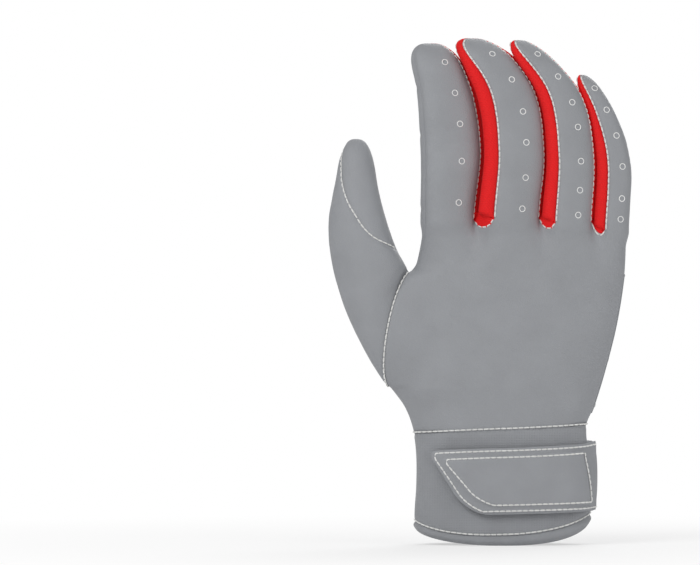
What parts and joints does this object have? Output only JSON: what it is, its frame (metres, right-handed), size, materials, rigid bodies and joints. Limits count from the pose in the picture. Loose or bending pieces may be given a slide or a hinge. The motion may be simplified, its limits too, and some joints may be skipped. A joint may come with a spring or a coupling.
{
  "type": "batting glove",
  "caption": "Right-hand batting glove: grey leather panels, red stretch walls between the fingers, grip pad on the heel, cuff with hook-and-loop strap.",
  "frame": {"origin": "middle of the cuff's mouth, where the hand goes in", "axes": "+Z from the cuff to the fingertips, +Y out of the palm, -Y out of the back of the hand, thumb on the -X side"},
  "size_m": [0.1465, 0.0418, 0.2449],
  "materials": {
    "grey_leather": "fine grain, satin",
    "red_stretch": "stretch knit, matt",
    "grip_overlay": "matt, ringed",
    "cuff_fabric": "brushed stretch cloth",
    "elastic": "ribbed",
    "strap_leather": "smooth, satin",
    "hook_tape": "hooked pile",
    "loop_tape": "looped pile"
  },
  "bodies": {
    "hand": {"back_panel": "grey_leather", "palm_panel": "grey_leather", "web_index_middle": "red_stretch", "web_middle_ring": "red_stretch", "web_ring_little": "red_stretch", "thumb_root_back": "grey_leather", "thumb_root_palm": "grey_leather", "heel_pad": "grip_overlay", "cuff_back": "cuff_fabric", "cuff_palm": "cuff_fabric", "hem_binding": "cuff_fabric", "wrist_elastic": "elastic", "loop_tape": "loop_tape", "index_base_crease": "grey_leather", "middle_base_crease": "grey_leather", "ring_base_crease": "grey_leather", "little_base_crease": "grey_leather", "thumb_base_crease": "grey_leather"},
    "strap": {"strap": "strap_leather", "hook_tape": "hook_tape", "badge_panel": "strap_leather"},
    "index_lower": {"index_lower_back": "grey_leather", "index_lower_palm": "grey_leather", "index_lower_far_wall": "red_stretch", "index_middle_crease": "grey_leather"},
    "index_upper": {"index_upper_back": "grey_leather", "index_upper_palm": "grey_leather", "index_upper_far_wall": "red_stretch"},
    "middle_lower": {"middle_lower_back": "grey_leather", "middle_lower_palm": "grey_leather", "middle_lower_near_wall": "red_stretch", "middle_lower_far_wall": "red_stretch", "middle_middle_crease": "grey_leather"},
    "middle_upper": {"middle_upper_back": "grey_leather", "middle_upper_palm": "grey_leather", "middle_upper_near_wall": "red_stretch", "middle_upper_far_wall": "red_stretch"},
    "ring_lower": {"ring_lower_back": "grey_leather", "ring_lower_palm": "grey_leather", "ring_lower_near_wall": "red_stretch", "ring_lower_far_wall": "red_stretch", "ring_middle_crease": "grey_leather"},
    "ring_upper": {"ring_upper_back": "grey_leather", "ring_upper_palm": "grey_leather", "ring_upper_near_wall": "red_stretch", "ring_upper_far_wall": "red_stretch"},
    "little_lower": {"little_lower_back": "grey_leather", "little_lower_palm": "grey_leather", "little_lower_near_wall": "red_stretch", "little_middle_crease": "grey_leather"},
    "little_upper": {"little_upper_back": "grey_leather", "little_upper_palm": "grey_leather", "little_upper_near_wall": "red_stretch"},
    "thumb_lower": {"thumb_lower_back": "grey_leather", "thumb_lower_palm": "grey_leather", "thumb_tip_crease": "grey_leather"},
    "thumb_upper": {"thumb_upper_back": "grey_leather", "thumb_upper_palm": "grey_leather"}
  },
  "joints": [
    {"name": "index_base_flex", "type": "hinge", "parent": "hand", "child": "index_lower", "pos_m": [-0.02783, 0.00238, 0.157], "axis": [-0.9598, -0.2752, 0.0549], "range_deg": [0, 75], "stiffness_Nm_per_rad": 0.03, "deforming": ["index_base_crease"]},
    {"name": "index_middle_flex", "type": "hinge", "parent": "index_lower", "child": "index_upper", "pos_m": [-0.02647, 0.00366, 0.19781], "axis": [-0.9593, -0.275, 0.0649], "range_deg": [0, 85], "stiffness_Nm_per_rad": 0.03, "deforming": ["index_middle_crease"]},
    {"name": "middle_base_flex", "type": "hinge", "parent": "hand", "child": "middle_lower", "pos_m": [0.00276, 0.00094, 0.158], "axis": [-0.9612, -0.2756, 0.012], "range_deg": [0, 75], "stiffness_Nm_per_rad": 0.03, "deforming": ["middle_base_crease"]},
    {"name": "middle_middle_flex", "type": "hinge", "parent": "middle_lower", "child": "middle_upper", "pos_m": [0.00447, 0.00282, 0.20152], "axis": [-0.9613, -0.2756, 0], "range_deg": [0, 85], "stiffness_Nm_per_rad": 0.03, "deforming": ["middle_middle_crease"]},
    {"name": "ring_base_flex", "type": "hinge", "parent": "hand", "child": "ring_lower", "pos_m": [0.03031, 0.00227, 0.156], "axis": [-0.9611, -0.2755, -0.02], "range_deg": [0, 75], "stiffness_Nm_per_rad": 0.03, "deforming": ["ring_base_crease"]},
    {"name": "ring_middle_flex", "type": "hinge", "parent": "ring_lower", "child": "ring_upper", "pos_m": [0.03078, 0.00421, 0.20063], "axis": [-0.9611, -0.2755, -0.02], "range_deg": [0, 85], "stiffness_Nm_per_rad": 0.03, "deforming": ["ring_middle_crease"]},
    {"name": "little_base_flex", "type": "hinge", "parent": "hand", "child": "little_lower", "pos_m": [0.0518, 0.00492, 0.152], "axis": [-0.9607, -0.2754, -0.035], "range_deg": [0, 75], "stiffness_Nm_per_rad": 0.03, "deforming": ["little_base_crease"]},
    {"name": "little_middle_flex", "type": "hinge", "parent": "little_lower", "child": "little_upper", "pos_m": [0.05243, 0.006, 0.18884], "axis": [-0.9608, -0.2755, -0.03], "range_deg": [0, 85], "stiffness_Nm_per_rad": 0.03, "deforming": ["little_middle_crease"]},
    {"name": "thumb_base_flex", "type": "hinge", "parent": "hand", "child": "thumb_lower", "pos_m": [-0.06727, 0.00391, 0.1426], "axis": [-0.988, 0.1525, 0.0244], "range_deg": [0, 50], "stiffness_Nm_per_rad": 0.03, "deforming": ["thumb_base_crease"]},
    {"name": "thumb_tip_flex", "type": "hinge", "parent": "thumb_lower", "child": "thumb_upper", "pos_m": [-0.07037, 0.00476, 0.16775], "axis": [-0.9663, 0.2565, 0.0214], "range_deg": [0, 70], "stiffness_Nm_per_rad": 0.03, "deforming": ["thumb_tip_crease"]},
    {"name": "strap_peel", "type": "hinge", "parent": "hand", "child": "strap", "pos_m": [0.0445, -0.0004, 0.033], "axis": [0, 0, 1], "range_deg": [0, 165]}
  ]
}
